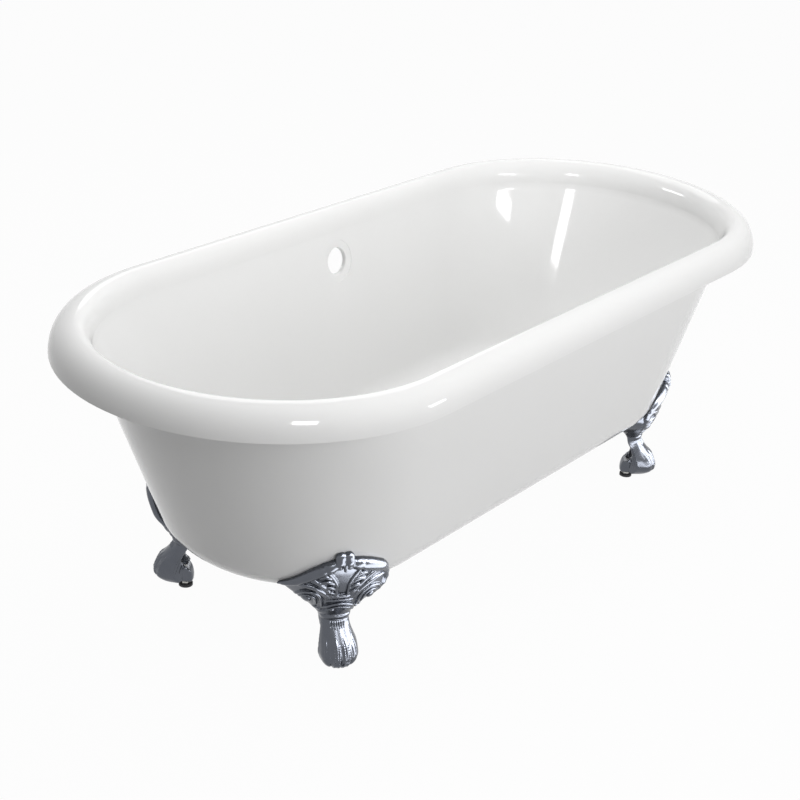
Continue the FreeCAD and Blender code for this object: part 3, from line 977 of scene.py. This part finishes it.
def enamel_material():
    """Glossy white porcelain enamel with the faint waviness of a fired coat."""
    material, tree, shader = new_material("white_enamel")
    tone = mix_colour(tree, object_noise(tree, 3.0), *ENAMEL_TONES)
    tree.links.new(tone, shader.inputs["Base Color"])
    gloss = ramp(tree, object_noise(tree, 9.0), *ENAMEL_ROUGHNESS)
    tree.links.new(gloss, shader.inputs["Roughness"])
    bump(tree, shader, object_noise(tree, 22.0, 1.0), 0.05, 0.002)
    return material


def chrome_material():
    """Chrome, darkened with painted shade to nearly black in the sunk carving, and bare iron inside
    the casting.

    Its tones are darker than real chrome, painted shade that stands in for the dark surroundings
    chrome reflects: with CASTING_PANELS they reach the photo's contrast.
    """
    material, tree, shader = new_material("chrome")
    recess = add_node(tree, "ShaderNodeAttribute", attribute_name="recess").outputs["Fac"]
    # painted shade: the sunk carving is darkened to nearly black, and the same mask makes it
    # rougher
    hollow_shade = ramp(tree, recess, 0.0, 1.0, HOLLOW_START, HOLLOW_END)
    # tones darker than real chrome, painted shade for the dark surroundings it would reflect
    tone = mix_colour(tree, object_noise(tree, 40.0), *CHROME_TONES_WITH_PAINTED_SHADE)
    tone = mix_colour(tree, hollow_shade, tone, PAINTED_SHADE_TONE)
    unpolished = ramp(tree, recess, 1.0, 0.0, 0.1, 0.4)
    tone = mix_colour(tree, unpolished, tone, UNPOLISHED_TONE)
    tree.links.new(tone, shader.inputs["Base Color"])
    tree.links.new(ramp(tree, unpolished, 1.0, UNPOLISHED_METAL), shader.inputs["Metallic"])
    gloss = ramp(tree, hollow_shade, *CHROME_ROUGHNESS)
    tree.links.new(gloss, shader.inputs["Roughness"])
    bump(tree, shader, object_noise(tree, 160.0, 2.0), 0.12, 0.0006)
    return material


def steel_material():
    """Zinc-plated steel of the bolts, washers and levelling screws."""
    material, tree, shader = new_material("zinc_steel")
    shader.inputs["Metallic"].default_value = 1.0
    tone = mix_colour(tree, object_noise(tree, 300.0), *STEEL_TONES)
    tree.links.new(tone, shader.inputs["Base Color"])
    gloss = ramp(tree, object_noise(tree, 700.0), *STEEL_ROUGHNESS)
    tree.links.new(gloss, shader.inputs["Roughness"])
    return material


def nylon_material():
    """Black nylon of the glides."""
    material, tree, shader = new_material("black_nylon")
    tone = mix_colour(tree, object_noise(tree, 500.0), *NYLON_TONES)
    tree.links.new(tone, shader.inputs["Base Color"])
    gloss = ramp(tree, object_noise(tree, 900.0), *NYLON_ROUGHNESS)
    tree.links.new(gloss, shader.inputs["Roughness"])
    return material


# ---- stage, light and camera --------------------------------------------------------------------
CAMERA_PLACE = (-2.3060, -1.6691, 1.5957)
# azimuth, elevation and roll in degrees
CAMERA_ANGLES = (-52.81, 24.79, 3.61)
CAMERA_LENS = 70.60
CAMERA_SENSOR = 36.0
CAMERA_FAR = 60.0
WORLD_LIGHT = 0.12
FLOOR_HALF_SIZE = 12.0
FLOOR_GREY = (0.5, 0.5, 0.5, 1)
# share of plain white in what the lens sees of the floor
FLOOR_WHITE = 0.97
WHITE = (1, 1, 1, 1)
# lamps: name, place, target, width, height and power
MIDDLE_OF_TUB = (0, 0, 0.35)
SOFT_LAMPS = [
    ("ceiling", (0, 0, 3.2), MIDDLE_OF_TUB, 3.0, 2.0, 46),
    ("front", (0, -3.0, 1.35), MIDDLE_OF_TUB, 3.0, 1.5, 52),
    ("fill", (-2.5, -0.9, 2.8), MIDDLE_OF_TUB, 1.2, 1.2, 13),
]
SOFTBOX = ("softbox", (1.2, 1.2, 2.2), MIDDLE_OF_TUB, 1.5, 1.5, 12)
# a narrow lamp over the inside of the tub
WELL_LAMP = ("well", (0.05, 0, 1.5), (0.05, 0, 0), 1.20, 0.40, 0.35)
WELL_SPREAD = math.radians(40)
# panels that only show as reflections, on every piece
PANELS = [
    ("square_panel", (0.52, -1.56, 0.87), (0.4, 0.2, 0.4), 0.42, 0.14, 2.2),
    ("near_panel", (-1.20, -1.14, 1.38), (0.2, 0.0, 0.5), 0.30, 0.30, 3.6),
    ("far_panel", (-0.4, 1.6, 1.4), (1.5, 1.2, 1.2), 0.9, 0.30, 8.5),
]
# panels that only the foot castings reflect, much stronger than the lamps that light the rest
CASTING_PANELS = [
    ("side_panel", (1.6, -2.0, 1.0), (-0.5, -0.2, 0.15), 2.0, 2.0, 140.0),
    ("high_panel", (0.3, -2.0, 2.4), (-0.5, -0.2, 0.2), 2.2, 1.2, 150.0),
    ("floor_card", (0.45, -1.15, 0.01), (0.45, -1.15, 1.0), 2.2, 1.5, 80.0),
]


def to_lens(tree):
    """1 for what the camera sees, straight or in a reflection or through glass, and 0 otherwise."""
    path = add_node(tree, "ShaderNodeLightPath")
    seen = path.outputs["Is Camera Ray"]
    for ray in ("Is Glossy Ray", "Is Transmission Ray"):
        either = add_node(tree, "ShaderNodeMath", operation="MAXIMUM")
        tree.links.new(seen, either.inputs[0])
        tree.links.new(path.outputs[ray], either.inputs[1])
        seen = either.outputs[0]
    return seen


def make_world():
    """White to the lens and in reflections, and a weak even light for the rest."""
    world = bpy.data.worlds.new("studio")
    bpy.context.scene.world = world
    world.use_nodes = True
    tree = world.node_tree
    tree.nodes.clear()
    output = add_node(tree, "ShaderNodeOutputWorld")
    soft = add_node(tree, "ShaderNodeBackground", Color=WHITE, Strength=WORLD_LIGHT)
    white = add_node(tree, "ShaderNodeBackground", Color=WHITE, Strength=1.0)
    mix = add_node(tree, "ShaderNodeMixShader")
    tree.links.new(to_lens(tree), mix.inputs[0])
    tree.links.new(soft.outputs[0], mix.inputs[1])
    tree.links.new(white.outputs[0], mix.inputs[2])
    tree.links.new(mix.outputs[0], output.inputs["Surface"])


def make_floor():
    """A pale floor, white to the lens and in reflections but for a trace of the shadow."""
    size = FLOOR_HALF_SIZE
    corners = [(-size, -size, 0), (size, -size, 0), (size, size, 0), (-size, size, 0)]
    mesh = mesh_from("floor", corners, [(0, 1, 2, 3)])
    floor = bpy.data.objects.new("floor", mesh)
    bpy.context.scene.collection.objects.link(floor)
    material, tree, shader = new_material("floor")
    shader.inputs["Base Color"].default_value = FLOOR_GREY
    shader.inputs["Roughness"].default_value = 0.9
    shader.inputs["Specular IOR Level"].default_value = 0.0
    white = add_node(tree, "ShaderNodeEmission", Color=WHITE, Strength=1.0)
    share = add_node(tree, "ShaderNodeMath", operation="MULTIPLY")
    share.inputs[1].default_value = FLOOR_WHITE
    tree.links.new(to_lens(tree), share.inputs[0])
    mix = add_node(tree, "ShaderNodeMixShader")
    tree.links.new(share.outputs[0], mix.inputs[0])
    tree.links.new(shader.outputs[0], mix.inputs[1])
    tree.links.new(white.outputs[0], mix.inputs[2])
    tree.links.new(mix.outputs[0], tree.nodes["Material Output"].inputs["Surface"])
    mesh.materials.append(material)


def area_light(name, place, target, width, height, power):
    """A rectangular lamp that faces its target."""
    data = bpy.data.lights.new(name, "AREA")
    data.shape = "RECTANGLE"
    data.size = width
    data.size_y = height
    data.energy = power
    lamp = bpy.data.objects.new(name, data)
    lamp.location = place
    lamp.rotation_euler = (Vector(target) - Vector(place)).to_track_quat("-Z", "Y").to_euler()
    bpy.context.scene.collection.objects.link(lamp)
    return lamp


def make_lights(feet):
    """Broad soft lamps for the shading, panels that only show as reflections, and strong panels
    that light only the foot castings.
    """
    for values in SOFT_LAMPS:
        area_light(*values).visible_glossy = False
    area_light(*SOFTBOX)
    well = area_light(*WELL_LAMP)
    well.data.spread = WELL_SPREAD
    well.visible_glossy = False
    for values in PANELS:
        area_light(*values).visible_diffuse = False
    castings = bpy.data.collections.new("castings")
    for foot in feet:
        castings.objects.link(foot)
    for values in CASTING_PANELS:
        panel = area_light(*values)
        panel.visible_camera = False
        panel.visible_diffuse = False
        panel.light_linking.receiver_collection = castings


def make_camera():
    """The camera at the viewing angle of the photo."""
    azimuth, elevation, roll = (math.radians(a) for a in CAMERA_ANGLES)
    back = Vector((math.sin(azimuth) * math.cos(elevation),
                   -math.cos(azimuth) * math.cos(elevation),
                   math.sin(elevation)))
    right = Vector((math.cos(azimuth), math.sin(azimuth), 0))
    top = back.cross(right)
    turned_right = math.cos(roll) * right + math.sin(roll) * top
    turned_top = -math.sin(roll) * right + math.cos(roll) * top
    data = bpy.data.cameras.new("camera")
    data.sensor_width = CAMERA_SENSOR
    data.lens = CAMERA_LENS
    data.clip_end = CAMERA_FAR
    camera = bpy.data.objects.new("camera", data)
    matrix = Matrix((turned_right, turned_top, back)).transposed().to_4x4()
    matrix.translation = CAMERA_PLACE
    camera.matrix_world = matrix
    bpy.context.scene.collection.objects.link(camera)
    bpy.context.scene.camera = camera


# ---- the part -----------------------------------------------------------------------------------
enamel = enamel_material()
chrome = chrome_material()
steel = steel_material()
nylon = nylon_material()
make_tub(enamel)
feet = make_feet(chrome)
for corner in CORNERS:
    for node, material in (("mounting_bolt_", steel), ("flat_washer_", steel),
                           ("spring_washer_", steel), ("levelling_screw_", steel),
                           ("glide_", nylon)):
        obj = bpy.data.objects[node + corner]
        for material_slot in obj.material_slots:
            material_slot.material = material

make_world()
make_floor()
make_lights(feet)
make_camera()

bpy.context.scene.view_settings.view_transform = "Standard"
